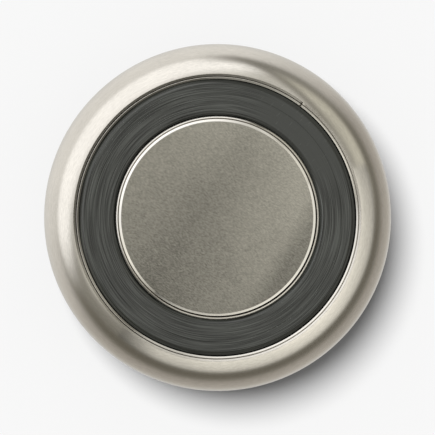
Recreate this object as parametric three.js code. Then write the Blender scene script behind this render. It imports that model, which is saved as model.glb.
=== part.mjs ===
// Dog bowl: a double-walled stainless steel bowl that stands on a black silicone ring.
// Millimetres, +Z up. The origin is the centre of the ring's underside, on the floor.
// Every piece is turned about the Z axis, so each one is drawn as its section in (radius, height).

import * as THREE from 'three';

// Overall form
const bellyDiameter = 176; // widest part of the outer wall
const bowlHeight = 60; // floor to the top of the rim
const bellyOverhang = 17.2; // the belly stands this far outside the base ridge
const bellyLowerRadius = 27.5; // section radius of the wall between the base ridge and the belly
const sheet = 0.7; // thickness of every steel pressing

// Base ridge: the outer wall's lower edge rolls in and butts against the lip of the base pan
const ridgeHeight = 0.6; // lowest point of the steel above the floor
const ridgeRoll = 1.7; // outside section radius of the outer wall's roll
const lipRoll = 1.35; // outside section radius of the pan's lip

// Rim: the inner bowl rolls out over the top and laps the outer wall's stepped lip
const rimInset = 11.5; // belly radius to the centre of the rim's roll
const rimRoll = 3; // outside section radius of the roll
const rimFlange = 4; // length of the skirt below the roll
const rimLap = 3; // length of the outer wall's lip under the skirt
const jogRun = 0.5; // height over which the outer wall steps in under the skirt

// Food well
const wellFloor = 10; // floor of the well above the ground
const wellFillet = 22; // section radius between floor and wall
const wellDraft = 3.5; // degrees that the wall leans out

// Base pan: a plate with a channel for the ring and a bead that parts the ring from the disc
const panHeight = 5.2; // underside of the plate above the floor
const panCorner = 0.8; // section radius between plate and channel wall
const beadSlot = 0.2; // open width inside the folded bead
const beadHeight = 0.9; // crest of the bead above the floor

// Silicone ring
const ringWidth = 17.5;
const ringOuterEdge = 2.4; // section radius of the outer lower edge
const ringInnerEdge = 2.2; // section radius of the inner lower edge

// Base disc: a shallow cap inside the bead
const discHeight = 0.9; // its face above the floor
const discEdge = 1.4; // section radius of its edge

// Clearances
const seamGap = 0.3; // between two welded or lapped pressings
const seatGap = 0.3; // between a seated piece and the plate over it
const ringClearance = 0.3; // ring to the channel's outer wall
const beadClearance = 0.3; // ring to the bead
const discClearance = 0.3; // disc to the bead

// Facets
const turnSegments = 48; // round the axis
const largeArcSteps = 7;
const wallArcSteps = 4;
const smallArcSteps = 4;
const ridgeSteps = 2;
const rollSteps = 4; // each side of the rim's top

// Directions in section, in radians: 0 points outward, a quarter turn points up
const outward = 0;
const up = Math.PI / 2;
const inward = Math.PI;
const down = -Math.PI / 2;

// Belly, ridge and rim, worked out so that each arc runs smoothly into the next
const bellyRadius = bellyDiameter / 2;
const lowerCentreRadius = bellyRadius - bellyLowerRadius;
const ridgeRadius = bellyRadius - bellyOverhang;
const ridgeTilt = Math.asin((ridgeRadius - lowerCentreRadius) / bellyLowerRadius);
const ridgeCentre = at(ridgeRadius - ridgeRoll * Math.sin(ridgeTilt), ridgeHeight + ridgeRoll);
const bellyHeight = ridgeCentre.y + (bellyLowerRadius - ridgeRoll) * Math.cos(ridgeTilt);
const lowerCentre = at(lowerCentreRadius, bellyHeight);
const ridgeStart = down + ridgeTilt;

const rimCentre = at(bellyRadius - rimInset, bowlHeight - rimRoll);
const rimRise = rimCentre.y - bellyHeight;
const upperRadius = (rimInset ** 2 + rimRise ** 2 - rimRoll ** 2) / (2 * (rimInset - rimRoll));
const upperCentre = at(bellyRadius - upperRadius, bellyHeight);
const rimStart = Math.atan2(rimRise, rimCentre.x - upperCentre.x);
const skirtEnd = rimStart - rimFlange / upperRadius;

// Base radii, from the ridge in to the disc
const lipCentre = at(ridgeCentre.x - seamGap, ridgeHeight + lipRoll);
const channelOuter = lipCentre.x - lipRoll;
const ringOuter = channelOuter - ringClearance;
const ringInner = ringOuter - ringWidth;
const beadHalf = beadSlot / 2 + sheet;
const beadCentre = at(ringInner - beadClearance - beadHalf, beadHeight + beadHalf);
const discRadius = beadCentre.x - beadHalf - discClearance;

// A point in section.
function at(radius, height) {
  return new THREE.Vector2(radius, height);
}

// The point of a circle in one direction from its centre.
function onCircle(centre, radius, direction) {
  return at(centre.x + radius * Math.cos(direction), centre.y + radius * Math.sin(direction));
}

// An arc in section, from one direction to another.
function arc(centre, radius, from, to, steps) {
  const direction = (step) => from + ((to - from) * step) / steps;
  return Array.from({ length: steps + 1 }, (_, step) => onCircle(centre, radius, direction(step)));
}

// A piece turned from a section whose last point is on the axis or is joined back to the first.
function turned(name, section, material) {
  const onAxis = section[0].x === 0;
  const outline = onAxis ? section : [...section, section[0].clone()];
  const geometry = new THREE.LatheGeometry(outline, turnSegments).rotateX(up);
  const mesh = new THREE.Mesh(geometry, material);
  mesh.name = name;
  return mesh;
}

function steel(color, roughness) {
  return new THREE.MeshStandardMaterial({ color, roughness, metalness: 1 });
}

// The rim's roll in section, from its skirt over the top to the wall of the well.
function rimArc(radius, lean) {
  const outerSide = arc(rimCentre, radius, rimStart, up, rollSteps);
  const innerSide = arc(rimCentre, radius, up, inward - lean, rollSteps);
  return [...outerSide, ...innerSide.slice(1)];
}

// Inner bowl: the food well, with a rim that rolls over and down outside.
function innerBowlSection() {
  const lean = THREE.MathUtils.degToRad(wellDraft);
  const wallTop = onCircle(rimCentre, rimRoll, inward - lean);
  const filletHeight = wellFloor + wellFillet;
  const filletReach = wellFillet + (wallTop.y - filletHeight) * Math.sin(lean);
  const filletCentre = at(wallTop.x - filletReach / Math.cos(lean), filletHeight);
  return [
    at(0, wellFloor - sheet),
    ...arc(filletCentre, wellFillet + sheet, down, outward - lean, largeArcSteps),
    ...rimArc(rimRoll - sheet, lean).reverse(),
    onCircle(upperCentre, upperRadius - sheet, skirtEnd),
    onCircle(upperCentre, upperRadius, skirtEnd),
    ...rimArc(rimRoll, lean),
    ...arc(filletCentre, wellFillet, outward - lean, down, largeArcSteps),
    at(0, wellFloor),
  ];
}

// Outer shell: ridge, belly, upper wall, then a step in to the lip that the rim's skirt covers.
function outerShellSection() {
  const jogDepth = sheet + seamGap;
  const lipStart = skirtEnd - seamGap / upperRadius;
  const lipEnd = lipStart + rimLap / upperRadius;
  const jogStart = lipStart - jogRun / upperRadius;
  const jogShift = (sheet * Math.tan(Math.atan2(jogDepth, jogRun) / 2)) / upperRadius;
  return [
    ...arc(ridgeCentre, ridgeRoll, down, ridgeStart, ridgeSteps),
    ...arc(lowerCentre, bellyLowerRadius, ridgeStart, outward, largeArcSteps).slice(1),
    ...arc(upperCentre, upperRadius, outward, jogStart, wallArcSteps).slice(1),
    onCircle(upperCentre, upperRadius - jogDepth, lipStart),
    onCircle(upperCentre, upperRadius - jogDepth, lipEnd),
    onCircle(upperCentre, upperRadius - jogDepth - sheet, lipEnd),
    onCircle(upperCentre, upperRadius - jogDepth - sheet, lipStart - jogShift),
    ...arc(upperCentre, upperRadius - sheet, jogStart - jogShift, outward, wallArcSteps),
    ...arc(lowerCentre, bellyLowerRadius - sheet, outward, ridgeStart, largeArcSteps).slice(1),
    ...arc(ridgeCentre, ridgeRoll - sheet, ridgeStart, down, ridgeSteps).slice(1),
  ];
}

// Base pan: plate, folded bead, channel wall, and a lip that rolls out to the outer wall's edge.
function basePanSection() {
  const cornerCentre = at(channelOuter - panCorner, panHeight - panCorner);
  const slotHalf = beadSlot / 2;
  return [
    at(0, panHeight),
    at(beadCentre.x - beadHalf, panHeight),
    ...arc(beadCentre, beadHalf, -inward, outward, smallArcSteps),
    at(beadCentre.x + beadHalf, panHeight),
    ...arc(cornerCentre, panCorner, up, outward, smallArcSteps),
    ...arc(lipCentre, lipRoll, -inward, down, smallArcSteps),
    ...arc(lipCentre, lipRoll - sheet, down, -inward, smallArcSteps),
    ...arc(cornerCentre, panCorner + sheet, outward, up, smallArcSteps),
    at(beadCentre.x + slotHalf, panHeight + sheet),
    ...arc(beadCentre, slotHalf, outward, -inward, smallArcSteps),
    at(beadCentre.x - slotHalf, panHeight + sheet),
    at(0, panHeight + sheet),
  ];
}

// Base disc: a shallow cap whose skirt seats on the plate inside the bead.
function baseDiscSection() {
  const skirtTop = panHeight - seatGap;
  const edgeCentre = at(discRadius - discEdge, discHeight + discEdge);
  return [
    at(0, discHeight),
    ...arc(edgeCentre, discEdge, down, outward, smallArcSteps),
    at(discRadius, skirtTop),
    at(discRadius - sheet, skirtTop),
    ...arc(edgeCentre, discEdge - sheet, outward, down, smallArcSteps),
    at(0, discHeight + sheet),
  ];
}

// Silicone ring: flat underside with rounded edges, chamfered on top to clear the channel's corner.
function ringSection() {
  const top = panHeight - seatGap;
  return [
    ...arc(at(ringInner + ringInnerEdge, ringInnerEdge), ringInnerEdge, -inward, down, smallArcSteps),
    ...arc(at(ringOuter - ringOuterEdge, ringOuterEdge), ringOuterEdge, down, outward, smallArcSteps),
    at(ringOuter, top - panCorner),
    at(ringOuter - panCorner, top),
    at(ringInner + panCorner, top),
    at(ringInner, top - panCorner),
  ];
}

const bowl = new THREE.Group();
bowl.add(
  turned('inner_bowl', innerBowlSection(), steel(0xb4afa5, 0.38)),
  turned('outer_shell', outerShellSection(), steel(0xbab4a9, 0.36)),
  turned('base_pan', basePanSection(), steel(0xc2bdb2, 0.2)),
  turned('base_disc', baseDiscSection(), steel(0x8f8b80, 0.42)),
  turned(
    'anti_slip_ring',
    ringSection(),
    new THREE.MeshStandardMaterial({ color: 0x484846, roughness: 0.7, metalness: 0 }),
  ),
);

export default bowl;
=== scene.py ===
"""Looks of a double-walled steel dog bowl on a silicone ring: its pieces, finishes and a plain studio."""

import logging
import math
from dataclasses import dataclass
from enum import Enum

import bpy
from mathutils import Matrix, Vector

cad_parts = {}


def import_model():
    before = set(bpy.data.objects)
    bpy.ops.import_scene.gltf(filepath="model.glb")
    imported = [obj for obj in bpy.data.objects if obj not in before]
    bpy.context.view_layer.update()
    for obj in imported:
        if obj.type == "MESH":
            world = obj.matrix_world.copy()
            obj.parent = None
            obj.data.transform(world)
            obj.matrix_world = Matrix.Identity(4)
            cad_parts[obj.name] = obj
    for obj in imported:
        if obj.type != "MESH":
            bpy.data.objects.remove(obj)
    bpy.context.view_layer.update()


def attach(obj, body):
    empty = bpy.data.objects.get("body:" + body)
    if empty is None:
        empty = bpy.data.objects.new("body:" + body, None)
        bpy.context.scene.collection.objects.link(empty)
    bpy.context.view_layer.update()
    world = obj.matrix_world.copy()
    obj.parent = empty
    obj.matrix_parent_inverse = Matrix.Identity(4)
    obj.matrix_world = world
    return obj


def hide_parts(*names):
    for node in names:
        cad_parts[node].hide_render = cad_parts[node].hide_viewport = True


LOG = logging.getLogger("dog_bowl")

MM = 0.001  # metres in a millimetre
FULL_TURN = 2 * math.pi

# Directions in a section, in radians: 0 points away from the axis, a quarter turn points up
OUTWARD = 0.0
UP = math.pi / 2
INWARD = math.pi
DOWN = -math.pi / 2

ARC_STEP = math.radians(4)  # largest turn between two points of an arc
FEWEST_STEPS = 2  # in an arc, however short
FLAT_SUPPORT = 0.12  # mm from the end of a straight stretch to the point that keeps its shading flat
SUPPORTED_LENGTH = 3 * FLAT_SUPPORT  # mm above which a straight stretch has such points
SAME_POINT = 1e-6  # mm below which two points of a section are one
SHARP_EDGE = math.radians(32)  # faces that meet at more than this keep a crisp edge

Point = tuple[float, float]
Section = list[Point]
Colour = tuple[float, float, float]
Stops = tuple[tuple[float, float], ...]  # shares of the way along something, each with the level there
Socket = bpy.types.NodeSocket
Input = float | tuple[float, ...] | Vector | Socket

BLACK: Colour = (0.0, 0.0, 0.0)
EVEN: Stops = ((0.0, 1.0), (1.0, 1.0))
STRAIGHT_DOWN = (0.0, 0.0, -1.0)


def on_circle(centre: Point, radius: float, direction: float) -> Point:
    """The point of a circle in one direction from its centre."""
    return (centre[0] + radius * math.cos(direction), centre[1] + radius * math.sin(direction))


def arc(centre: Point, radius: float, start: float, end: float) -> Section:
    """Draws an arc of a section.

    Args:
        centre: Centre of the arc, as (radius, height) in mm.
        radius: Radius of the arc in mm.
        start: Direction of the first point from the centre.
        end: Direction of the last point from the centre.

    Returns:
        Points along the arc, both ends included.
    """
    steps = max(FEWEST_STEPS, math.ceil(abs(end - start) / ARC_STEP))
    return [on_circle(centre, radius, start + (end - start) * step / steps) for step in range(steps + 1)]


def between(start: Point, end: Point, share: float) -> Point:
    """The point that lies the given share of the way from start to end."""
    return (start[0] + (end[0] - start[0]) * share, start[1] + (end[1] - start[1]) * share)


def outline(*strokes: Section) -> Section:
    """Joins arcs and single points by straight stretches.

    Args:
        strokes: Runs of points, in order round the section.

    Returns:
        The points of the section. A straight stretch has a point close to each end, so it is shaded flat.
    """
    section = list(strokes[0])
    for stroke in strokes[1:]:
        start = section[-1]
        end = stroke[0]
        length = math.dist(start, end)
        if length > SUPPORTED_LENGTH:
            share = FLAT_SUPPORT / length
            section += [between(start, end, share), between(start, end, 1 - share)]
        if length > SAME_POINT:
            section.append(end)
        section += stroke[1:]
    return section


def bevel(flat: Point, reach: float, tilt: float, bends: tuple[float, float]) -> Section:
    """Draws a bevel with a bend at each end, from a level underside to an upright side.

    Args:
        flat: Where the underside ends.
        reach: Radius of the upright side, which may lie on either side of that place.
        tilt: Angle of the bevel from level.
        bends: Section radii of the first and the last bend.

    Returns:
        Points from the underside to the upright side.
    """
    side = math.copysign(1.0, reach - flat[0])
    slope = DOWN + side * tilt
    upright = OUTWARD if side > 0 else -INWARD
    first = (flat[0], flat[1] + bends[0])
    start = on_circle(first, bends[0], slope)
    last_radius = reach - side * bends[1]
    run = abs(last_radius + side * bends[1] * math.sin(tilt) - start[0])
    height = start[1] + run * math.tan(tilt) + bends[1] * math.cos(tilt)
    return outline(arc(first, bends[0], DOWN, slope), arc((last_radius, height), bends[1], slope, upright))


def towards(azimuth: float, elevation: float = 0.0) -> Vector:
    """The direction from the bowl to a place round it.

    Args:
        azimuth: Degrees from +X.
        elevation: Degrees below the bowl, negative for above it.

    Returns:
        A direction of length 1.
    """
    turn = math.radians(azimuth)
    drop = math.radians(elevation)
    return Vector((math.cos(turn) * math.cos(drop), math.sin(turn) * math.cos(drop), -math.sin(drop)))


def placed(name: str, data: bpy.types.ID) -> bpy.types.Object:
    """Puts a mesh, light or camera in the scene.

    Args:
        name: Name of the new object.
        data: What the object shows.

    Returns:
        The new object.
    """
    thing = bpy.data.objects.new(name, data)
    bpy.context.scene.collection.objects.link(thing)
    return thing


@dataclass(frozen=True)
class BowlForm:
    """Driving sizes of the bowl in millimetres, and the circles that its pressings share."""

    belly_diameter: float = 176.0
    bowl_height: float = 60.0
    belly_overhang: float = 17.2
    belly_lower_radius: float = 27.5
    sheet: float = 0.7
    ridge_height: float = 0.75
    ridge_roll: float = 1.7
    lip_height: float = 1.2
    lip_roll: float = 1.25
    lip_gap: float = 0.4
    rim_inset: float = 11.5
    rim_roll: float = 3.0
    rim_flange: float = 4.0
    pan_height: float = 5.2
    pan_corner: float = 0.8
    bead_slot: float = 0.2
    bead_width: float = 1.28
    bead_height: float = 0.65
    ring_width: float = 17.5
    seam_gap: float = 0.3
    seat_gap: float = 0.3
    ring_clearance: float = 0.25
    bead_clearance: float = 0.3
    disc_clearance: float = 0.32

    @property
    def belly_radius(self) -> float:
        """Radius of the widest part of the outer wall."""
        return self.belly_diameter / 2

    @property
    def ridge_tilt(self) -> float:
        """Angle from straight down at which the ridge's roll runs into the lower wall."""
        reach = self.belly_lower_radius - self.belly_overhang
        return math.asin(reach / self.belly_lower_radius)

    @property
    def ridge_centre(self) -> Point:
        """Centre of the ridge's roll."""
        radius = self.belly_radius - self.belly_overhang - self.ridge_roll * math.sin(self.ridge_tilt)
        return (radius, self.ridge_height + self.ridge_roll)

    @property
    def belly_height(self) -> float:
        """Height of the widest part of the outer wall."""
        return self.ridge_centre[1] + (self.belly_lower_radius - self.ridge_roll) * math.cos(self.ridge_tilt)

    @property
    def lower_centre(self) -> Point:
        """Centre of the lower wall's arc."""
        return (self.belly_radius - self.belly_lower_radius, self.belly_height)

    @property
    def rim_centre(self) -> Point:
        """Centre of the rim's roll."""
        return (self.belly_radius - self.rim_inset, self.bowl_height - self.rim_roll)

    @property
    def upper_radius(self) -> float:
        """Section radius of the wall between the belly and the rim."""
        rise = self.rim_centre[1] - self.belly_height
        squares = self.rim_inset**2 + rise**2 - self.rim_roll**2
        return squares / (2 * (self.rim_inset - self.rim_roll))

    @property
    def upper_centre(self) -> Point:
        """Centre of the upper wall's arc."""
        return (self.belly_radius - self.upper_radius, self.belly_height)

    @property
    def rim_start(self) -> float:
        """Direction at which the rim's roll runs into its skirt."""
        centre = self.upper_centre
        return math.atan2(self.rim_centre[1] - centre[1], self.rim_centre[0] - centre[0])

    @property
    def skirt_end(self) -> float:
        """Direction, from the upper wall's centre, of the skirt's lower edge."""
        return self.rim_start - self.rim_flange / self.upper_radius

    @property
    def lip_centre(self) -> Point:
        """Centre of the roll of the pan's lip."""
        return (self.ridge_centre[0] - self.lip_gap, self.lip_height + self.lip_roll)

    @property
    def channel_outer(self) -> float:
        """Radius of the channel's outer wall."""
        return self.lip_centre[0] - self.lip_roll

    @property
    def ring_outer(self) -> float:
        """Outer radius of the silicone ring."""
        return self.channel_outer - self.ring_clearance

    @property
    def ring_inner(self) -> float:
        """Inner radius of the silicone ring."""
        return self.ring_outer - self.ring_width

    @property
    def bead_half(self) -> float:
        """Half of the folded bead's width."""
        return self.bead_width / 2

    @property
    def bead_centre(self) -> Point:
        """Centre of the bead's crest."""
        return (self.ring_inner - self.bead_clearance - self.bead_half, self.bead_height + self.bead_half)

    @property
    def disc_radius(self) -> float:
        """Radius of the base disc."""
        return self.bead_centre[0] - self.bead_half - self.disc_clearance

    def sheet_edge(self, centre: Point, radius: float, direction: float, forward: bool) -> Section:
        """Rounds the cut edge of a sheet that is bent about a centre.

        Args:
            centre: Centre of the bend.
            radius: Radius of the sheet's outer side.
            direction: Direction of the edge from the centre.
            forward: Whether the sheet ends there as directions grow, and so goes from outer to inner side.

        Returns:
            A half circle of the sheet's thickness.
        """
        middle = on_circle(centre, radius - self.sheet / 2, direction)
        if forward:
            return arc(middle, self.sheet / 2, direction, direction + math.pi)
        return arc(middle, self.sheet / 2, direction - math.pi, direction)


@dataclass(frozen=True)
class RadialMark:
    """A fine straight mark on the underside, along a radius."""

    angle: float  # radians from +X
    width: float  # mm across
    depth: float  # mm up into the piece; a raised mark has a negative depth
    inner: float  # mm from the axis
    outer: float  # mm from the axis
    fade: float = 0.5  # mm over which each end runs out
    steps: int = 4  # meridians on each side of its middle

    def meridians(self) -> list[float]:
        """Angles at which the mark needs points."""
        half = self.width / (self.inner + self.outer)
        return [self.angle + half * step / self.steps for step in range(-self.steps, self.steps + 1)]

    def lift(self, radius: float, angle: float) -> float:
        """Works out how far the mark moves a point.

        Args:
            radius: The point's distance from the axis in mm.
            angle: The point's angle from +X.

        Returns:
            Movement along +Z in mm.
        """
        inside = min(radius - self.inner, self.outer - radius)
        across = abs(angle - self.angle) * radius / (self.width / 2)
        if inside <= 0 or across >= 1:
            return 0.0
        profile = 0.5 + 0.5 * math.cos(math.pi * across)
        return self.depth * profile * min(1.0, inside / self.fade)


# Where the weld between the outer wall and the pan starts and stops
WELD_MARK = RadialMark(angle=math.radians(126.4), width=0.9, depth=0.9, inner=68.3, outer=70.6, fade=0.3)
# Where the ring's mould was fed
MOULD_MARK = RadialMark(
    angle=math.radians(-27.6) + FULL_TURN, width=0.9, depth=-0.02, inner=52.4, outer=61.0
)


@dataclass(frozen=True)
class Turning:
    """A piece turned about the Z axis from its section."""

    name: str
    section: Section
    marks: tuple[RadialMark, ...] = ()
    off_centre: Point = (0.0, 0.0)
    segments: int = 256

    def meridians(self) -> list[float]:
        """Angles of the rows of points, closer together across each mark."""
        angles = {FULL_TURN * index / self.segments for index in range(self.segments)}
        for mark in self.marks:
            angles.update(mark.meridians())
        return sorted(angles)

    def point(self, place: Point, angle: float) -> Vector:
        """A point of the section turned to an angle, in metres."""
        radius, height = place
        height += sum(mark.lift(radius, angle) for mark in self.marks)
        across = on_circle(self.off_centre, radius, angle)
        return Vector((*across, height)) * MM

    def build(self) -> bpy.types.Object:
        """Builds the piece.

        Returns:
            A new object in the scene, with smooth faces and crisp corners.
        """
        angles = self.meridians()
        rows: list[list[int]] = []
        points: list[Vector] = []
        for place in self.section:
            count = 1 if place[0] == 0 else len(angles)
            rows.append([len(points) + index for index in range(count)])
            points += [self.point(place, angle) for angle in angles[:count]]
        mesh = bpy.data.meshes.new(self.name)
        mesh.from_pydata(points, [], self.faces(rows))
        mesh.shade_smooth()
        mesh.set_sharp_from_angle(angle=SHARP_EDGE)
        return placed(self.name, mesh)

    def faces(self, rows: list[list[int]]) -> list[list[int]]:
        """Joins the rows of points into faces.

        Args:
            rows: Point numbers of each place of the section, one for a place on the axis.

        Returns:
            Corner numbers of each face, counter-clockwise seen from outside.
        """
        following = rows[1:] if len(rows[0]) == 1 else rows[1:] + rows[:1]
        faces: list[list[int]] = []
        for low, high in zip(rows, following):
            count = max(len(low), len(high))
            for index in range(count):
                after = (index + 1) % count
                corners = [low[index % len(low)], low[after % len(low)]]
                corners += [high[after % len(high)], high[index % len(high)]]
                faces.append(list(dict.fromkeys(corners)))
        return faces


class Mixed(Enum):
    """What a mix lies between, with the places of its two inputs and of its output."""

    NUMBERS = ("FLOAT", 2, 3, 0)
    COLOURS = ("RGBA", 6, 7, 2)


class NodeGraph:
    """Adds nodes to one tree and joins them."""

    RELIEF_DEPTH = 0.25  # depth of fine lines, as a share of the distance between them
    MATT_BOUNCES = 0.5  # light with fewer than this has left no matt surface

    def __init__(self, tree: bpy.types.NodeTree) -> None:
        """Starts from an empty tree."""
        self.tree = tree
        self.tree.nodes.clear()

    def node(
        self, kind: str, inputs: dict[str | int, Input] | None = None, **settings: object
    ) -> bpy.types.Node:
        """Adds a node.

        Args:
            kind: Name of the kind of node.
            inputs: Values or sockets for its inputs.
            settings: Its other settings.

        Returns:
            The new node.
        """
        node = self.tree.nodes.new(kind)
        for name, value in settings.items():
            setattr(node, name, value)
        for name, value in (inputs or {}).items():
            socket = node.inputs[name]
            if isinstance(value, Socket):
                self.tree.links.new(value, socket)
            else:
                socket.default_value = opaque(value) if socket.type == "RGBA" else value
        return node

    def math(self, operation: str, first: Input, second: Input = 0.0) -> Socket:
        """Combines two numbers."""
        return self.node("ShaderNodeMath", {0: first, 1: second}, operation=operation).outputs[0]

    def product(self, first: Input, second: Input) -> Socket:
        """Two numbers multiplied."""
        return self.math("MULTIPLY", first, second)

    def vector(self, operation: str, first: Input, second: Input = (0.0, 0.0, 0.0)) -> Socket:
        """Combines two vectors into a vector."""
        inputs = {0: first, 1: second}
        return self.node("ShaderNodeVectorMath", inputs, operation=operation).outputs["Vector"]

    def flattened(self, vector: Input) -> Socket:
        """A vector without its upright part."""
        return self.vector("MULTIPLY", vector, (1.0, 1.0, 0.0))

    def scaled(self, vector: Input, factor: float) -> Socket:
        """A vector times a number."""
        inputs = {0: vector, "Scale": factor}
        return self.node("ShaderNodeVectorMath", inputs, operation="SCALE").outputs["Vector"]

    def length(self, vector: Input) -> Socket:
        """Length of a vector."""
        return self.node("ShaderNodeVectorMath", {0: vector}, operation="LENGTH").outputs["Value"]

    def part(self, vector: Input, direction: Input) -> Socket:
        """How far a vector reaches in a direction."""
        inputs = {0: vector, 1: direction}
        return self.node("ShaderNodeVectorMath", inputs, operation="DOT_PRODUCT").outputs["Value"]

    def turned(self, place: Socket, angle: float) -> Socket:
        """A position turned about the Z axis, so that what lay at an angle in degrees lies along X."""
        turn = (0.0, 0.0, -math.radians(angle))
        return self.node("ShaderNodeMapping", {"Vector": place, "Rotation": turn}).outputs["Vector"]

    def remap(
        self, value: Input, low: float, high: float, to_low: float = 0.0, to_high: float = 1.0
    ) -> Socket:
        """A number moved from one range to another, kept inside it."""
        inputs = {"Value": value, "From Min": low, "From Max": high, "To Min": to_low, "To Max": to_high}
        return self.node("ShaderNodeMapRange", inputs, clamp=True).outputs["Result"]

    def smooth(self, value: Input, low: float, high: float) -> Socket:
        """A number that rises smoothly from 0 to 1 between two values."""
        inputs = {"Value": value, "From Min": low, "From Max": high}
        return self.node("ShaderNodeMapRange", inputs, interpolation_type="SMOOTHSTEP").outputs["Result"]

    def sector(self, level: Socket, azimuth: float, half_width: float, fade: float) -> Socket:
        """Marks a sector of the level directions.

        Args:
            level: A level direction of length 1.
            azimuth: Degrees from +X to the middle of the sector.
            half_width: Degrees from there to each side.
            fade: Degrees that each side's fade reaches in and out.

        Returns:
            A number from 0, clear of the sector, to 1, inside it.
        """
        outer = math.cos(math.radians(half_width + fade))
        inner = math.cos(math.radians(half_width - fade))
        return self.smooth(self.part(level, towards(azimuth)), outer, inner)

    def mix(self, kind: Mixed, share: Input, first: Input, second: Input) -> Socket:
        """A value that lies a share of the way from one value to another."""
        data_type, first_place, second_place, result = kind.value
        inputs = {0: share, first_place: first, second_place: second}
        return self.node("ShaderNodeMix", inputs, data_type=data_type).outputs[result]

    def blend(self, share: Input, first: Input, second: Input) -> Socket:
        """A colour between two colours."""
        return self.mix(Mixed.COLOURS, share, first, second)

    def between(self, share: Input, first: Input, second: Input) -> Socket:
        """A number between two numbers."""
        return self.mix(Mixed.NUMBERS, share, first, second)

    def ramp(self, share: Input, stops: list[tuple[float, Colour]]) -> Socket:
        """A colour that runs through the given colours, each at a share from 0 to 1."""
        node = self.node("ShaderNodeValToRGB", {0: share})
        elements = node.color_ramp.elements
        while len(elements) < len(stops):
            elements.new(1.0)
        for element, (position, colour) in zip(elements, stops):
            element.position = position
            element.color = opaque(colour)
        return node.outputs["Color"]

    def grey_ramp(self, share: Input, stops: Stops) -> Socket:
        """A grey that runs through the given levels, each at a share from 0 to 1."""
        return self.ramp(share, [(position, (level,) * 3) for position, level in stops])

    def noise(self, vector: Input, detail: float, scale: float = 1.0, fourth: Input = 0.0) -> Socket:
        """Noise between 0 and 1 in four dimensions."""
        inputs = {"Vector": vector, "W": fourth, "Scale": scale, "Detail": detail}
        return self.node("ShaderNodeTexNoise", inputs, noise_dimensions="4D").outputs["Fac"]

    def relief(self, lines: Socket, strength: float, spacing: float) -> Socket:
        """The normal of a surface with fine lines that lie the given number of mm apart."""
        inputs = {"Height": lines, "Strength": strength, "Distance": spacing * MM * self.RELIEF_DEPTH}
        return self.node("ShaderNodeBump", inputs).outputs["Normal"]

    def direct(self) -> Socket:
        """1 for what shows in the steel itself, 0 for light that the steel would throw on matt surfaces."""
        depth = self.node("ShaderNodeLightPath").outputs["Diffuse Depth"]
        return self.math("LESS_THAN", depth, self.MATT_BOUNCES)

    def surface(self, shader: Socket) -> None:
        """Ends the graph of a material with its shader."""
        self.node("ShaderNodeOutputMaterial", {"Surface": shader})


def opaque(colour: tuple[float, ...]) -> tuple[float, float, float, float]:
    """A colour with full alpha."""
    return (colour[0], colour[1], colour[2], 1.0)


def new_material(name: str) -> tuple[bpy.types.Material, NodeGraph]:
    """Starts a material.

    Args:
        name: Name of the material.

    Returns:
        The material, and its nodes, of which there are none yet.
    """
    material = bpy.data.materials.new(name)
    material.use_nodes = True
    return material, NodeGraph(material.node_tree)


class Grain(Enum):
    """Which way steel is brushed."""

    ROUND = "in circles about the axis"
    STRAIGHT = "in one direction across the piece"


@dataclass(frozen=True)
class Finish:
    """The surface of a piece."""

    slot: str
    colour: Colour
    roughness: float

    def material(self) -> bpy.types.Material:
        """Makes the material, in the way of each kind of finish."""
        raise NotImplementedError

    def dress(self, piece: bpy.types.Object) -> None:
        """Puts the finish on a piece."""
        piece.data.materials.append(self.material())


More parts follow.
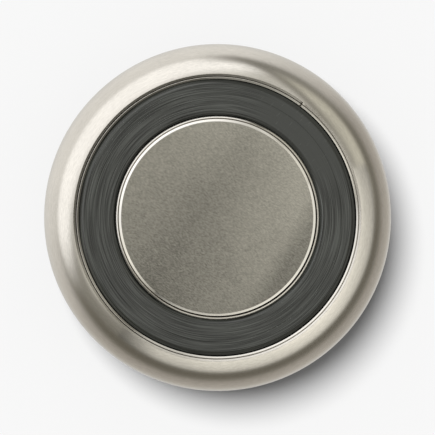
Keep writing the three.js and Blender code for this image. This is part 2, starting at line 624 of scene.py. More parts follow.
@dataclass(frozen=True)
class SteelFinish(Finish):
    """Brushed stainless steel."""

    anisotropy: float
    grain: Grain
    line_spacing: float = 0.4  # mm between brush lines
    line_length: float = 1.6  # mm that a brush line runs before it changes
    line_contrast: float = 0.18  # share by which brush lines darken the colour
    roughness_spread: float = 0.06  # how much rougher the dull lines are
    bump: float = 0.05  # strength of the brush lines' relief
    haze: float = 0.1  # share by which broad dull patches darken the colour
    haze_size: float = 33.0  # mm across such a patch
    painted_reflection_streaks: Stops = ()  # places along straight brushing, and how dark the painted reflection is there
    painted_streak_reach: float = 48.0  # mm from the axis to the first and last place
    painted_streak_depth: float = 0.24  # share by which the darkest painted reflection band darkens the colour
    painted_shade_depth: float = 0.0  # share of painted shade by which one side is darker than the other
    painted_shade_angle: float = 310.0  # degrees from +X to the side darkened by painted shade
    grain_angle: float = 0.0  # degrees from +X to the direction of straight brushing
    polished_from: float = 1000.0  # mm from the axis beyond which the edge is polished
    polished_roughness: float = 0.12
    polished_colour: Colour = (0.8, 0.78, 0.74)

    GRAIN_MAP = "grain"
    QUARTER_TURN = 0.25  # as a share of a full turn
    POLISH_FADE = 0.25  # mm over which brushing gives way to the polished edge
    MEAN_RADIUS = 75.0  # mm from the axis at which round brush lines have their stated length
    LINE_DETAIL = 3.0
    LINE_RANGE = (0.3, 0.7)  # noise in the dullest and in the brightest lines
    PATCH_DETAIL = 2.0
    PATCH_RANGE = (0.35, 0.7)  # noise where patches begin and where they are dullest

    def material(self) -> bpy.types.Material:
        """Makes the material.

        Returns:
            A metal whose colour, roughness and relief follow the brushing; its colour may also carry painted
            shade and painted reflection.
        """
        material, graph = new_material(self.slot)
        place = graph.node("ShaderNodeTexCoord").outputs["Object"]
        lines = self.brush_lines(graph, place)
        brushed = graph.blend(self.shade(graph, place, lines), self.colour, BLACK)
        satin = graph.remap(lines, *self.LINE_RANGE, self.roughness + self.roughness_spread, self.roughness)
        distance = graph.length(graph.flattened(place))
        polish_end = self.polished_from + self.POLISH_FADE
        polished = graph.smooth(distance, self.polished_from * MM, polish_end * MM)
        shader = graph.node(
            "ShaderNodeBsdfPrincipled",
            {
                "Base Color": graph.blend(polished, brushed, self.polished_colour),
                "Metallic": 1.0,
                "Roughness": graph.between(polished, satin, self.polished_roughness),
                "Anisotropic": self.anisotropy,
                "Anisotropic Rotation": 0.0 if self.grain is Grain.STRAIGHT else self.QUARTER_TURN,
                "Normal": graph.relief(lines, self.bump, self.line_spacing),
                "Tangent": self.tangent(graph),
            },
        )
        graph.surface(shader.outputs["BSDF"])
        return material

    def brush_lines(self, graph: NodeGraph, place: Socket) -> Socket:
        """Draws the brush lines.

        Args:
            graph: The material's nodes.
            place: Position on the piece.

        Returns:
            A number from 0, dull, to 1, bright, that is drawn out along the brushing.
        """
        across = 1 / (self.line_spacing * MM)
        if self.grain is Grain.STRAIGHT:
            along = 1 / (self.line_length * MM)
            turned = graph.turned(place, self.grain_angle)
            return graph.noise(graph.vector("MULTIPLY", turned, (along, across, along)), self.LINE_DETAIL)
        flat = graph.flattened(place)
        circle = graph.scaled(graph.vector("NORMALIZE", flat), self.MEAN_RADIUS / self.line_length)
        height = graph.vector("MULTIPLY", place, (0.0, 0.0, across))
        radius = graph.product(graph.length(flat), across)
        return graph.noise(graph.vector("ADD", circle, height), self.LINE_DETAIL, fourth=radius)

    def shade(self, graph: NodeGraph, place: Socket, lines: Socket) -> Socket:
        """Adds up what darkens the steel.

        Args:
            graph: The material's nodes.
            place: Position on the piece.
            lines: The brush lines.

        Returns:
            The share by which brush lines, random patches, painted reflection bands and a side of painted
            shade darken the colour.
        """
        patches = graph.noise(place, self.PATCH_DETAIL, 1 / (self.haze_size * MM))
        hazy = graph.product(graph.remap(patches, *self.PATCH_RANGE), self.haze)
        dull = graph.product(graph.remap(lines, *self.LINE_RANGE, 1.0, 0.0), self.line_contrast)
        reach = self.painted_streak_reach * MM
        # Painted shade: one side darker than the other, standing in for how the disc mirrors the room.
        across = graph.part(place, towards(self.painted_shade_angle))
        broad = graph.remap(across, -reach, reach, -self.painted_shade_depth / 2, self.painted_shade_depth / 2)
        # Painted reflection: dark bands across the grain stand in for the streak of room that the disc
        # mirrors.
        if self.painted_reflection_streaks:
            along = graph.part(graph.turned(place, self.grain_angle), (1.0, 0.0, 0.0))
            level = graph.grey_ramp(graph.remap(along, -reach, reach), self.painted_reflection_streaks)
            broad = graph.math("ADD", graph.part(level, (self.painted_streak_depth, 0.0, 0.0)), broad)
        return graph.math("ADD", graph.math("ADD", hazy, dull), broad)

    def tangent(self, graph: NodeGraph) -> Socket:
        """The direction across straight brushing, or along round brushing."""
        if self.grain is Grain.STRAIGHT:
            node = graph.node("ShaderNodeTangent", direction_type="UV_MAP", uv_map=self.GRAIN_MAP)
        else:
            node = graph.node("ShaderNodeTangent", direction_type="RADIAL", axis="Z")
        return node.outputs["Tangent"]

    def map_grain(self, piece: bpy.types.Object) -> None:
        """Gives a straight-brushed piece a map whose first axis runs across the brushing."""
        layer = piece.data.uv_layers.new(name=self.GRAIN_MAP)
        along = towards(self.grain_angle)
        across = Vector((-along.y, along.x, 0.0))
        for loop in piece.data.loops:
            place = piece.data.vertices[loop.vertex_index].co
            layer.data[loop.index].uv = (place.dot(across), place.dot(along))

    def dress(self, piece: bpy.types.Object) -> None:
        """Puts the finish on a piece, after its grain is mapped."""
        if self.grain is Grain.STRAIGHT:
            self.map_grain(piece)
        super().dress(piece)


@dataclass(frozen=True)
class SiliconeFinish(Finish):
    """Matt black silicone with fine turned lines."""

    dust: Colour
    ior: float = 1.5
    specular: float = 0.68
    line_spacing: float = 0.4  # mm between turned lines
    bump: float = 0.4
    rougher: float = 0.06  # how much rougher the dull lines are than the whole
    smoother: float = 0.04  # how much smoother the bright lines are
    most_dust: float = 0.9  # share of dust in the palest lines
    scuff_angle: float = 135.0  # degrees from +X to the scuffs
    scuff_reach: float = 38.0  # degrees to each side
    scuffed_dust: float = 0.37  # share of dust where scuffs have worn the lines away

    DETAIL = 2.0
    LINE_CHANGES = 2.2  # how often a line changes on its way round
    LINE_RANGE = (0.3, 0.7)  # noise in the dullest and in the brightest lines
    DUST_RANGE = (0.42, 0.64)  # noise where dust begins and where it is thickest
    SCUFFS_PER_METRE = (180.0, 1600.0, 1.0)  # along the scratches, across them, and upright
    SCUFF_RANGE = (0.58, 0.72)  # noise where a scratch begins and where it is palest

    def material(self) -> bpy.types.Material:
        """Makes the material.

        Returns:
            A dull dark surface with turned lines, a little dust and a scuffed stretch.
        """
        material, graph = new_material(self.slot)
        place = graph.node("ShaderNodeTexCoord").outputs["Object"]
        flat = graph.flattened(place)
        radius = graph.product(graph.length(flat), 1 / (self.line_spacing * MM))
        heading = graph.vector("NORMALIZE", flat)
        lines = graph.noise(graph.scaled(heading, self.LINE_CHANGES), self.DETAIL, fourth=radius)
        facing = graph.part(heading, towards(self.scuff_angle))
        worn = graph.smooth(facing, math.cos(math.radians(self.scuff_reach)), 1.0)
        in_lines = graph.remap(lines, *self.DUST_RANGE, 0.0, self.most_dust)
        dusty = graph.between(worn, in_lines, self.scuffed_dust)
        scuffed = graph.product(self.scuffs(graph, place), worn)
        rough = self.roughness + self.rougher
        shader = graph.node(
            "ShaderNodeBsdfPrincipled",
            {
                "Base Color": graph.blend(graph.math("MAXIMUM", dusty, scuffed), self.colour, self.dust),
                "Roughness": graph.remap(lines, *self.LINE_RANGE, rough, self.roughness - self.smoother),
                "IOR": self.ior,
                "Specular IOR Level": self.specular,
                "Normal": graph.relief(lines, self.bump, self.line_spacing),
            },
        )
        graph.surface(shader.outputs["BSDF"])
        return material

    def scuffs(self, graph: NodeGraph, place: Socket) -> Socket:
        """Short pale scratches across the ring."""
        turned = graph.turned(place, self.scuff_angle)
        stretched = graph.vector("MULTIPLY", turned, self.SCUFFS_PER_METRE)
        return graph.remap(graph.noise(stretched, self.DETAIL), *self.SCUFF_RANGE)


WELL_STEEL = SteelFinish(
    slot="well_steel",
    colour=(0.73, 0.705, 0.665),
    roughness=0.26,
    anisotropy=0.5,
    grain=Grain.ROUND,
)
SHELL_STEEL = SteelFinish(
    slot="shell_steel",
    colour=(0.715, 0.686, 0.638),
    roughness=0.17,
    anisotropy=0.2,
    grain=Grain.ROUND,
    line_length=2.4,
    line_contrast=0.12,
    haze=0.07,
)
PAN_STEEL = SteelFinish(
    slot="pan_steel",
    colour=(0.73, 0.705, 0.66),
    roughness=0.1,
    anisotropy=0.2,
    grain=Grain.ROUND,
    line_contrast=0.06,
    roughness_spread=0.02,
    bump=0.02,
    haze=0.05,
)
DISC_STEEL = SteelFinish(
    slot="disc_steel",
    colour=(0.715, 0.694, 0.62),
    roughness=0.34,
    anisotropy=0.75,
    grain=Grain.STRAIGHT,
    line_spacing=0.23,
    line_length=1.1,
    line_contrast=0.46,
    haze=0.08,
    # Painted reflection bands and a side of painted shade stand in for what the disc mirrors.
    painted_reflection_streaks=((0.07, 1.0), (0.16, 0.0), (0.3, 0.22), (0.44, 0.58), (0.6, 0.76), (0.76, 0.4), (0.94, 0.32)),
    painted_shade_depth=0.34,
    grain_angle=32.0,
    polished_from=47.35,
)
BLACK_SILICONE = SiliconeFinish(
    slot="silicone",
    colour=(0.0088, 0.01, 0.0082),
    roughness=0.2,
    dust=(0.0635, 0.0678, 0.0598),
)


@dataclass(frozen=True)
class InnerBowl:
    """The drawn food well, with a rim that rolls over and down outside."""

    form: BowlForm
    finish: Finish = WELL_STEEL
    well_floor: float = 10.0
    well_fillet: float = 22.0
    well_lean: float = math.radians(3.5)

    def fillet_centre(self) -> Point:
        """Centre of the arc between the well's floor and its wall."""
        wall_top = on_circle(self.form.rim_centre, self.form.rim_roll, INWARD - self.well_lean)
        height = self.well_floor + self.well_fillet
        reach = self.well_fillet + (wall_top[1] - height) * math.sin(self.well_lean)
        return (wall_top[0] - reach / math.cos(self.well_lean), height)

    def section(self) -> Section:
        """The well and the rim in section, the hidden side first."""
        form = self.form
        fillet = self.fillet_centre()
        wall = OUTWARD - self.well_lean
        roll_end = INWARD - self.well_lean
        inside = form.upper_radius - form.sheet
        return outline(
            [(0.0, self.well_floor - form.sheet)],
            arc(fillet, self.well_fillet + form.sheet, DOWN, wall),
            arc(form.rim_centre, form.rim_roll - form.sheet, roll_end, form.rim_start),
            arc(form.upper_centre, inside, form.rim_start, form.skirt_end),
            form.sheet_edge(form.upper_centre, form.upper_radius, form.skirt_end, forward=False),
            arc(form.upper_centre, form.upper_radius, form.skirt_end, form.rim_start),
            arc(form.rim_centre, form.rim_roll, form.rim_start, roll_end),
            arc(fillet, self.well_fillet, wall, DOWN),
            [(0.0, self.well_floor)],
        )

    def build(self) -> bpy.types.Object:
        """Builds and dresses the piece."""
        piece = Turning("food_well", self.section()).build()
        self.finish.dress(piece)
        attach(piece, "bowl")
        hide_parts("inner_bowl")
        return piece


@dataclass(frozen=True)
class OuterShell:
    """The outer wall, from the rolled ridge at its foot to the stepped lip under the rim's skirt."""

    form: BowlForm
    finish: Finish = SHELL_STEEL
    weld_mark: RadialMark = WELD_MARK
    rim_lap: float = 3.0
    jog_run: float = 0.5
    jog_steps: int = 8
    foot_radius: float = 71.15
    foot_roll: float = 0.12
    foot_tilt: float = math.radians(29.5)  # slope of the edge that turns up to the seam
    foot_bend: float = 0.15
    seam_fill: float = 0.09  # how far the weld closes its side of the seam

    def jog(self, radius: float, start: float, end: float) -> Section:
        """Draws the step in the wall.

        Args:
            radius: Radius of the wall below the step.
            start: Direction of the step's foot from the upper wall's centre.
            end: Direction of the step's top.

        Returns:
            Points of a smooth step, as deep as the skirt that covers it and its gap.
        """
        depth = self.form.sheet + self.form.seam_gap
        points: Section = []
        for index in range(self.jog_steps + 1):
            share = index / self.jog_steps
            inset = depth * share**2 * (3 - 2 * share)
            points.append(on_circle(self.form.upper_centre, radius - inset, start + (end - start) * share))
        return points

    def section(self) -> Section:
        """The wall in section, up its outer side and down its inner side."""
        form = self.form
        outer = form.upper_radius
        inner = outer - form.sheet
        lip = inner - form.seam_gap
        lip_start = form.skirt_end - form.seam_gap / outer
        lip_end = lip_start + self.rim_lap / outer
        jog_start = lip_start - self.jog_run / outer
        shift = form.sheet / 2 / outer
        roll_distance = form.belly_lower_radius - self.foot_roll
        foot = DOWN + math.asin((self.foot_radius - form.lower_centre[0]) / roll_distance)
        roll_centre = on_circle(form.lower_centre, roll_distance, foot)
        crest = on_circle(roll_centre, self.foot_roll, DOWN)
        seam = form.ridge_centre[0] - self.seam_fill
        edge = bevel(crest, seam, self.foot_tilt, (self.foot_roll, self.foot_bend))[::-1]
        return outline(
            [(seam, edge[0][1] + form.sheet)],
            edge,
            arc(roll_centre, self.foot_roll, DOWN, foot),
            arc(form.lower_centre, form.belly_lower_radius, foot, OUTWARD),
            arc(form.upper_centre, outer, OUTWARD, jog_start),
            self.jog(outer, jog_start, lip_start),
            arc(form.upper_centre, lip, lip_start, lip_end),
            form.sheet_edge(form.upper_centre, lip, lip_end, forward=True),
            arc(form.upper_centre, lip - form.sheet, lip_end, lip_start - shift),
            self.jog(inner, jog_start - shift, lip_start - shift)[::-1],
            arc(form.upper_centre, inner, jog_start - shift, OUTWARD),
            arc(form.lower_centre, form.belly_lower_radius - form.sheet, OUTWARD, foot),
        )

    def build(self) -> bpy.types.Object:
        """Builds and dresses the piece."""
        piece = Turning("outer_wall", self.section(), (self.weld_mark,)).build()
        self.finish.dress(piece)
        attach(piece, "bowl")
        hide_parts("outer_shell")
        return piece


@dataclass(frozen=True)
class BasePan:
    """The stamped floor of the outer wall: plate, folded bead, channel and lip."""

    form: BowlForm
    finish: Finish = PAN_STEEL
    weld_mark: RadialMark = WELD_MARK
    lip_corner: float = 0.25
    lip_tilt: float = math.radians(30.5)
    lip_bend: float = 0.3
    lip_inset: float = 0.05  # how far the lip's foot stands back from the channel's wall
    bead_crest: float = 0.3  # from the bead's inner side to its crest
    bead_tilts: tuple[float, float] = (math.radians(62), math.radians(35))  # inner and outer slope
    bead_bends: tuple[float, float] = (0.12, 0.12)
    bead_fillet: float = 0.8  # section radius between the bead and the plate
    off_centre: Point = (-0.12, -0.06)  # how far the pan lies out of the middle of the outer wall

    def section(self) -> Section:
        """The pan in section, the underside first."""
        form = self.form
        corner = (form.channel_outer - form.pan_corner, form.pan_height - form.pan_corner)
        plate_top = form.pan_height + form.sheet
        slot = form.bead_slot / 2
        crest = (form.lip_centre[0] - self.lip_corner, form.lip_height)
        lip_bends = (self.lip_corner, self.lip_bend)
        inner_side = form.bead_centre[0] - form.bead_half
        outer_side = form.bead_centre[0] + form.bead_half
        bead_crest = (inner_side + self.bead_crest, form.bead_height)
        fillet = self.bead_fillet
        fillet_height = form.pan_height - fillet
        return outline(
            [(0.0, form.pan_height)],
            arc((inner_side - fillet, fillet_height), fillet, UP, OUTWARD),
            bevel(bead_crest, inner_side, self.bead_tilts[0], self.bead_bends)[::-1],
            bevel(bead_crest, outer_side, self.bead_tilts[1], self.bead_bends),
            arc((outer_side + fillet, fillet_height), fillet, INWARD, UP),
            arc(corner, form.pan_corner, UP, OUTWARD),
            bevel(crest, form.channel_outer + self.lip_inset, self.lip_tilt, lip_bends)[::-1],
            arc((crest[0], crest[1] + self.lip_corner), self.lip_corner, DOWN, OUTWARD),
            arc(form.lip_centre, form.lip_roll - form.sheet, DOWN, -INWARD),
            arc(corner, form.pan_corner + form.sheet, OUTWARD, UP),
            [(form.bead_centre[0] + slot, plate_top)],
            arc(form.bead_centre, slot, OUTWARD, -INWARD),
            [(form.bead_centre[0] - slot, plate_top)],
            [(0.0, plate_top)],
        )

    def build(self) -> bpy.types.Object:
        """Builds and dresses the piece."""
        piece = Turning("base_plate", self.section(), (self.weld_mark,), self.off_centre).build()
        self.finish.dress(piece)
        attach(piece, "bowl")
        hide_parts("base_pan")
        return piece


@dataclass(frozen=True)
class BaseDisc:
    """The shallow brushed cap inside the bead."""

    form: BowlForm
    finish: Finish = DISC_STEEL
    face_height: float = 0.45
    edge_radius: float = 1.4
    shoulder_width: float = 1.55
    shoulder_tilt: float = math.radians(27)
    shoulder_bends: tuple[float, float] = (0.35, 0.45)
    off_centre: Point = (0.06, 0.15)  # how far the disc lies out of the middle of the bead

    def section(self) -> Section:
        """The cap in section, its face first."""
        form = self.form
        skirt_top = form.pan_height - form.seat_gap
        face_end = (form.disc_radius - self.shoulder_width, self.face_height)
        inner_bend = self.edge_radius - form.sheet
        inner_centre = (form.disc_radius - self.edge_radius, self.face_height + self.edge_radius)
        return outline(
            [(0.0, self.face_height)],
            bevel(face_end, form.disc_radius, self.shoulder_tilt, self.shoulder_bends),
            [(form.disc_radius, skirt_top)],
            [(form.disc_radius - form.sheet, skirt_top)],
            arc(inner_centre, inner_bend, OUTWARD, DOWN),
            [(0.0, self.face_height + form.sheet)],
        )

    def build(self) -> bpy.types.Object:
        """Builds and dresses the piece."""
        piece = Turning("brushed_disc", self.section(), off_centre=self.off_centre).build()
        self.finish.dress(piece)
        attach(piece, "bowl")
        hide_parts("base_disc")
        return piece


@dataclass(frozen=True)
class AntiSlipRing:
    """The silicone ring that the bowl stands on."""

    form: BowlForm
    finish: Finish = BLACK_SILICONE
    mould_mark: RadialMark = MOULD_MARK
    edge_tilt: float = math.radians(43.5)
    outer_flat: float = 65.9
    outer_bends: tuple[float, float] = (0.5, 0.35)
    inner_flat: float = 52.75
    inner_bends: tuple[float, float] = (0.8, 0.4)
    step_radius: float = 61.3
    step_height: float = 0.12
    step_run: float = 0.2
    off_centre: Point = (0.03, 0.04)  # how far the ring lies out of the middle of its channel

    def section(self) -> Section:
        """The ring in section, from its inner lower edge."""
        form = self.form
        top = form.pan_height - form.seat_gap
        corner = form.pan_corner
        inner = (self.inner_flat, self.step_height)
        return outline(
            bevel(inner, form.ring_inner, self.edge_tilt, self.inner_bends)[::-1],
            [(self.step_radius, self.step_height)],
            [(self.step_radius + self.step_run, 0.0)],
            bevel((self.outer_flat, 0.0), form.ring_outer, self.edge_tilt, self.outer_bends),
            [(form.ring_outer, top - corner)],
            [(form.ring_outer - corner, top)],
            [(form.ring_inner + corner, top)],
            [(form.ring_inner, top - corner)],
        )

    def build(self) -> bpy.types.Object:
        """Builds and dresses the piece."""
        piece = Turning("silicone_ring", self.section(), (self.mould_mark,), self.off_centre).build()
        self.finish.dress(piece)
        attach(piece, "ring")
        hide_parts("anti_slip_ring")
        return piece


@dataclass(frozen=True)
class RoomLevel:
    """Colour of the room round the bowl at one height."""

    elevation: float  # degrees below the bowl: straight down is 90, straight up is -90
    colour: Colour


@dataclass(frozen=True)
class SoftBox:
    """A patch of light or shade far from the bowl that shows in the steel."""

    azimuth: float  # degrees from +X
    half_width: float  # degrees to each side
    low: float  # degrees below the bowl
    high: float
    radiance: Colour
    side_fade: float = 12.0  # degrees over which a side runs out
    low_fade: float = 6.0
    high_fade: float = 8.0

    NEAREST = 0.05  # keeps the far sides of the box at a finite height

    def coverage(self, graph: NodeGraph, direction: Socket, level: Socket) -> Socket:
        """Works out how fully the box covers each direction.

        Args:
            graph: The world's nodes.
            direction: The direction, of length 1.
            level: The direction's level part, drawn out to length 1.

        Returns:
            A number from 0, clear of the box, to 1, inside it.
        """
        sides = graph.sector(level, self.azimuth, self.half_width, self.side_fade)
        ahead = graph.math("MAXIMUM", graph.part(direction, towards(self.azimuth)), self.NEAREST)
        height = graph.math("DIVIDE", graph.part(direction, STRAIGHT_DOWN), ahead)
        rising = self.edge(graph, height, self.low - self.low_fade, self.low + self.low_fade)
        falling = self.edge(graph, height, self.high + self.high_fade, self.high - self.high_fade)
        return graph.product(sides, graph.product(rising, falling))

    @staticmethod
    def edge(graph: NodeGraph, height: Socket, clear: float, full: float) -> Socket:
        """Soft lower or upper edge, between the heights at which the box is clear and full."""
        return graph.smooth(height, math.tan(math.radians(clear)), math.tan(math.radians(full)))


@dataclass(frozen=True)
class SlantedBar:
    """A dark bar far from the bowl that crosses the room at a slant and shows in the steel."""

    first: Point  # degrees from +X and degrees below the bowl, of a point on the bar
    second: Point
    radiance: Colour
    half_width: float = 4.0  # degrees to each side
    side_fade: float = 4.0  # degrees over which a side runs out
    reach: float = 22.0  # degrees to each side of the middle of the two points
    end_fade: float = 8.0

    def coverage(self, graph: NodeGraph, direction: Socket, level: Socket) -> Socket:
        """Works out how fully the bar covers each direction.

        Args:
            graph: The world's nodes.
            direction: The direction, of length 1.
            level: The direction's level part, drawn out to length 1.

        Returns:
            A number from 0, clear of the bar, to 1, inside it.
        """
        across = towards(*self.first).cross(towards(*self.second)).normalized()
        offset = graph.math("ABSOLUTE", graph.part(direction, across))
        outer = math.sin(math.radians(self.half_width + self.side_fade))
        inner = math.sin(math.radians(self.half_width - self.side_fade))
        middle = (self.first[0] + self.second[0]) / 2
        length = graph.sector(level, middle, self.reach, self.end_fade)
        return graph.product(graph.smooth(offset, outer, inner), length)


@dataclass(frozen=True)
class FillCard:
    """A curved white card that stands close to one side of the bowl and shows in the steel."""

    name: str
    azimuth: float  # degrees from +X
    half_width: float  # degrees to each side
    near_edge: tuple[float, float]  # mm above the floor, at its first and last end
    far_edge: float
    levels: Stops  # how bright it is from its near to its far edge
    ends: Stops  # how bright it is from its first to its last end
    sides: Stops = EVEN  # the same once more, for its near part
    low_sides: Stops = EVEN  # and for its far part
    low_from: float = 0.45  # share of the way to the far edge from which the low sides show
    low_at: float = 0.55
    distance: float = 120.0  # mm from the axis
    segments: int = 32
    tint: Colour = (1.0, 0.98, 0.9)
    clear: bool = False  # whether the room shows through the card

    SHARE_MAP = "shares"

    def build(self) -> None:
        """Stands the card beside the bowl."""
        points: list[Vector] = []
        shares: list[tuple[float, float]] = []
        for down in (0.0, 1.0):
            for index in range(self.segments + 1):
                along = index / self.segments
                near = self.near_edge[0] + (self.near_edge[1] - self.near_edge[0]) * along
                height = near + (self.far_edge - near) * down
                turn = math.radians(self.azimuth + self.half_width * (2 * along - 1))
                points.append(Vector((*on_circle((0.0, 0.0), self.distance, turn), height)) * MM)
                shares.append((along, down))
        row = self.segments + 1
        faces = [(index, index + 1, row + index + 1, row + index) for index in range(self.segments)]
        mesh = bpy.data.meshes.new(self.name)
        mesh.from_pydata(points, [], faces)
        layer = mesh.uv_layers.new(name=self.SHARE_MAP)
        for loop in mesh.loops:
            layer.data[loop.index].uv = shares[loop.vertex_index]
        mesh.materials.append(self.material())
        card = placed(self.name, mesh)
        card.visible_camera = False
        card.visible_diffuse = False
        card.visible_transmission = False
        card.visible_shadow = False

    def material(self) -> bpy.types.Material:
        """Makes the card's glow.

        Returns:
            A glow that changes from edge to edge and from end to end of the card.
        """
        material, graph = new_material(self.name)
        material.cycles.emission_sampling = "NONE"
        shares = graph.node("ShaderNodeTexCoord").outputs["UV"]
        along = graph.part(shares, (1.0, 0.0, 0.0))
        down = graph.part(shares, (0.0, 1.0, 0.0))
        side = graph.grey_ramp(along, self.sides)
        low_side = graph.grey_ramp(along, self.low_sides)
        part = graph.blend(graph.smooth(down, self.low_from, self.low_at), side, low_side)
        glow = graph.vector("MULTIPLY", graph.grey_ramp(down, self.levels), part)
        lit = graph.vector("MULTIPLY", glow, graph.grey_ramp(along, self.ends))
        tinted = graph.vector("MULTIPLY", lit, self.tint)
        shader = graph.node("ShaderNodeEmission", {"Color": tinted, "Strength": graph.direct()}).outputs[0]
        if self.clear:
            room = graph.node("ShaderNodeBsdfTransparent").outputs[0]
            shader = graph.node("ShaderNodeAddShader", {0: shader, 1: room}).outputs[0]
        graph.surface(shader)
        return material


LARGE_CARD = FillCard(
    name="fill_card",
    azimuth=235.0,
    half_width=75.0,
    near_edge=(1.5, -6.4),
    far_edge=-86.0,
    levels=((0.0, 0.5), (0.05, 0.8), (0.12, 1.0), (0.32, 1.16), (0.42, 1.46), (1.0, 1.52)),
    ends=((0.0, 1.0), (0.89, 1.0), (1.0, 0.25)),
    sides=((0.0, 0.55), (0.07, 0.64), (0.41, 1.0), (0.75, 0.85), (0.95, 0.7)),
    low_sides=((0.0, 0.67), (0.14, 0.62), (0.43, 0.62), (0.57, 0.48), (0.73, 0.16), (0.88, 0.02)),
)
SMALL_CARD = FillCard(
    name="small_card",
    azimuth=310.0,
    half_width=44.0,
    near_edge=(-86.0, -86.0),
    far_edge=-132.0,
    levels=((0.0, 0.0), (0.25, 1.4), (0.75, 1.4), (1.0, 0.0)),
    ends=((0.0, 0.2), (0.3, 0.4), (0.56, 0.7), (0.8, 1.0), (1.0, 0.5)),
)
CORNER_CARD = FillCard(
    name="corner_card",
    azimuth=334.0,
    half_width=26.0,
    near_edge=(-30.0, -30.0),
    far_edge=-82.0,
    levels=((0.0, 0.0), (0.22, 0.4), (0.42, 1.3), (0.6, 1.3), (0.8, 0.4), (1.0, 0.0)),
    ends=((0.0, 0.0), (0.25, 0.5), (0.5, 1.0), (0.75, 0.9), (1.0, 0.0)),
    clear=True,
)
NORTH_CARD = FillCard(
    name="north_card",
    azimuth=138.0,
    half_width=23.0,
    near_edge=(-34.0, -34.0),
    far_edge=-84.0,
    levels=((0.0, 0.0), (0.22, 0.25), (0.42, 0.9), (0.6, 0.9), (0.8, 0.3), (1.0, 0.0)),
    ends=((0.0, 0.0), (0.22, 0.9), (0.5, 1.0), (0.92, 1.0), (1.0, 0.4)),
    clear=True,
)

# The room, which is alike on both sides straight above the bowl and well below it
HIGHEST_LEVEL = RoomLevel(-90.0, (0.74, 0.73, 0.7))
LOW_LEVELS = (
    RoomLevel(35.0, (0.33, 0.32, 0.285)),
    RoomLevel(56.0, (0.35, 0.34, 0.305)),
    RoomLevel(76.0, (0.4, 0.39, 0.36)),
    RoomLevel(85.0, (0.96, 0.94, 0.89)),
    RoomLevel(90.0, (0.96, 0.94, 0.89)),
)
UNLIT_ROOM = (
    HIGHEST_LEVEL,
    RoomLevel(-43.0, (0.545, 0.515, 0.468)),
    RoomLevel(-20.0, (0.442, 0.415, 0.376)),
    RoomLevel(-8.0, (0.205, 0.192, 0.16)),
    RoomLevel(0.0, (0.155, 0.143, 0.115)),
    RoomLevel(8.0, (0.165, 0.153, 0.125)),
    RoomLevel(16.0, (0.25, 0.24, 0.21)),
    *LOW_LEVELS,
)
LIT_ROOM = (
    HIGHEST_LEVEL,
    RoomLevel(-40.0, (1.0, 0.985, 0.95)),
    RoomLevel(-9.0, (1.0, 0.985, 0.95)),
    RoomLevel(-2.0, (0.36, 0.345, 0.3)),
    *LOW_LEVELS,
)

DIM_CORNER = SoftBox(
    azimuth=230.0,
    half_width=62.0,
    low=27.0,
    high=62.0,
    radiance=(0.12, 0.115, 0.1),
    side_fade=16.0,
    low_fade=3.0,
    high_fade=6.0,
)
SIDE_GLOW = SoftBox(
    azimuth=140.0,
    half_width=32.0,
    low=5.0,
    high=30.0,
    radiance=(0.74, 0.72, 0.62),
    side_fade=14.0,
    high_fade=10.0,
)
NORTH_WALL = SoftBox(
    azimuth=106.0,
    half_width=20.0,
    low=26.0,
    high=46.0,
    radiance=(0.8, 0.79, 0.74),
    low_fade=10.0,
)
WINDOW = SoftBox(
    azimuth=45.5,
    half_width=62.0,
    low=-4.0,
    high=43.0,
    radiance=(1.46, 1.45, 1.43),
    side_fade=14.0,
    high_fade=12.0,
)
WINDOW_FRAME = SoftBox(
    azimuth=110.0,
    half_width=19.0,
    low=-8.0,
    high=9.0,
    radiance=(0.28, 0.27, 0.24),
    low_fade=7.0,
)
WINDOW_BAR = SlantedBar(first=(107.0, 9.5), second=(132.0, 35.0), radiance=(0.2, 0.19, 0.16))


@dataclass(frozen=True)
class Lamp:
    """A broad, far lamp that lights matt surfaces."""

    name: str
    azimuth: float  # degrees from +X
    elevation: float  # degrees below the bowl, negative for above it
    strength: float  # light on a surface that faces the lamp
    width: float  # degrees across, seen from the bowl

    def build(self) -> None:
        """Hangs the lamp."""
        light = bpy.data.lights.new(self.name, "SUN")
        light.energy = self.strength
        light.angle = math.radians(self.width)
        lamp = placed(self.name, light)
        lamp.rotation_mode = "QUATERNION"
        lamp.rotation_quaternion = towards(self.azimuth, self.elevation).to_track_quat("Z", "Y")
        lamp.visible_glossy = False


LAMP_BELOW = Lamp("lamp_below", azimuth=52.0, elevation=68.5, strength=3.05, width=28.0)
LAMP_ABOVE = Lamp("lamp_above", azimuth=231.0, elevation=-60.0, strength=3.26, width=30.0)


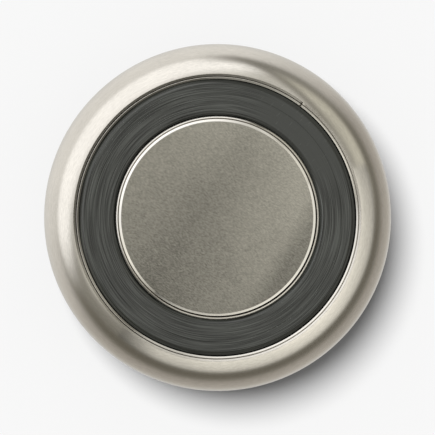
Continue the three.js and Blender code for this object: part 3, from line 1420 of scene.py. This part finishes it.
@dataclass(frozen=True)
class Studio:
    """Pale floors, soft lamps, the surroundings that the steel mirrors, and the camera."""

    form: BowlForm
    pale: Colour = (0.938, 0.938, 0.938)
    floor_colour: Colour = (0.87, 0.87, 0.87)
    floor_gap: float = 0.3  # mm between a floor and what stands on it
    floor_half_size: float = 6.0  # m
    ambient: float = 0.18
    lit_azimuth: float = 50.0  # degrees from +X to the lit side of the room
    lit_half_width: float = 66.0
    lit_fade: float = 40.0
    far_things: tuple[SoftBox | SlantedBar, ...] = (
        DIM_CORNER,
        SIDE_GLOW,
        NORTH_WALL,
        WINDOW,
        WINDOW_FRAME,
        WINDOW_BAR,
    )
    cards: tuple[FillCard, ...] = (LARGE_CARD, SMALL_CARD, CORNER_CARD, NORTH_CARD)
    lamps: tuple[Lamp, ...] = (LAMP_BELOW, LAMP_ABOVE)
    camera_distance: float = 0.941  # m
    camera_place: tuple[float, float] = (-0.005, 0.003)  # m from the axis
    frame_width: float = 0.22096  # m across the picture at the belly
    sensor_width: float = 36.0  # mm

    def floor(self, name: str, height: float, faces_up: bool) -> None:
        """Lays a floor that shows from one side only.

        Args:
            name: Name of the floor.
            height: Height in mm.
            faces_up: Whether it shows from above.
        """
        half = self.floor_half_size
        level = height * MM
        corners = [(-half, -half, level), (half, -half, level), (half, half, level), (-half, half, level)]
        mesh = bpy.data.meshes.new(name)
        mesh.from_pydata(corners if faces_up else corners[::-1], [], [(0, 1, 2, 3)])
        mesh.materials.append(self.floor_material(name))
        floor = placed(name, mesh)
        floor.visible_diffuse = False
        floor.visible_glossy = False
        floor.visible_transmission = False
        floor.visible_shadow = False

    def floor_material(self, name: str) -> bpy.types.Material:
        """Makes a pale matt floor that is clear when seen from its back.

        Args:
            name: Name of the material.

        Returns:
            The material.
        """
        material, graph = new_material(name)
        matt = graph.node("ShaderNodeBsdfDiffuse", {"Color": self.floor_colour}).outputs["BSDF"]
        clear = graph.node("ShaderNodeBsdfTransparent").outputs["BSDF"]
        from_back = graph.node("ShaderNodeNewGeometry").outputs["Backfacing"]
        graph.surface(graph.node("ShaderNodeMixShader", {0: from_back, 1: matt, 2: clear}).outputs[0])
        return material

    def world(self) -> None:
        """Sets the surroundings: pale for the camera, dim for matt surfaces, and a lit room for steel."""
        world = bpy.data.worlds.new("studio")
        bpy.context.scene.world = world
        world.use_nodes = True
        world.cycles.sampling_method = "NONE"
        graph = NodeGraph(world.node_tree)
        path = graph.node("ShaderNodeLightPath")
        mirror = graph.product(path.outputs["Is Glossy Ray"], graph.direct())
        lighting = graph.blend(mirror, (self.ambient,) * 3, self.surroundings(graph))
        seen = graph.blend(path.outputs["Is Camera Ray"], lighting, self.pale)
        background = graph.node("ShaderNodeBackground", {"Color": seen})
        graph.node("ShaderNodeOutputWorld", {"Surface": background.outputs["Background"]})

    def surroundings(self, graph: NodeGraph) -> Socket:
        """Builds what the steel mirrors.

        Args:
            graph: The world's nodes.

        Returns:
            The colour of the surroundings in each direction.
        """
        direction = graph.node("ShaderNodeTexCoord").outputs["Generated"]
        level = graph.vector("NORMALIZE", graph.flattened(direction))
        lit = graph.sector(level, self.lit_azimuth, self.lit_half_width, self.lit_fade)
        unlit_room = self.room(graph, direction, UNLIT_ROOM)
        colour = graph.blend(lit, unlit_room, self.room(graph, direction, LIT_ROOM))
        for thing in self.far_things:
            colour = graph.blend(thing.coverage(graph, direction, level), colour, thing.radiance)
        return colour

    @staticmethod
    def room(graph: NodeGraph, direction: Socket, levels: tuple[RoomLevel, ...]) -> Socket:
        """Colours one side of the room by height.

        Args:
            graph: The world's nodes.
            direction: The direction, of length 1.
            levels: Colours from straight up to straight down.

        Returns:
            The colour in each direction.
        """
        down = graph.part(direction, STRAIGHT_DOWN)
        stops = [((1 + math.sin(math.radians(level.elevation))) / 2, level.colour) for level in levels]
        return graph.ramp(graph.remap(down, -1.0, 1.0), stops)

    def camera(self) -> None:
        """Sets the camera below the bowl, looking up at its base."""
        target = Vector((0.0, 0.0, self.form.belly_height * MM))
        place = Vector((*self.camera_place, target.z - self.camera_distance))
        back = (place - target).normalized()
        right = Vector((0.0, 1.0, 0.0)).cross(back).normalized()
        up = back.cross(right)
        turn = Matrix((right, up, back)).transposed()
        lens = bpy.data.cameras.new("camera")
        lens.sensor_width = self.sensor_width
        lens.lens = self.sensor_width * self.camera_distance / self.frame_width
        camera = placed("camera", lens)
        camera.matrix_world = Matrix.Translation(place) @ turn.to_4x4()
        bpy.context.scene.camera = camera

    def build(self) -> None:
        """Builds the whole studio."""
        bpy.context.scene.view_settings.view_transform = "Standard"
        self.camera()
        self.floor("floor_under_ring", -self.floor_gap, faces_up=True)
        self.floor("floor_under_rim", self.form.bowl_height + self.floor_gap, faces_up=False)
        for thing in (*self.lamps, *self.cards):
            thing.build()
        self.world()


def main() -> None:
    """Builds the studio and every piece of the bowl."""
    logging.basicConfig(level=logging.INFO, format="%(message)s")
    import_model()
    form = BowlForm()
    Studio(form).build()
    for sub_assembly in (InnerBowl, OuterShell, BasePan, BaseDisc, AntiSlipRing):
        piece = sub_assembly(form).build()
        LOG.info("%s: %d points", piece.name, len(piece.data.vertices))


if __name__ == "__main__":
    main()
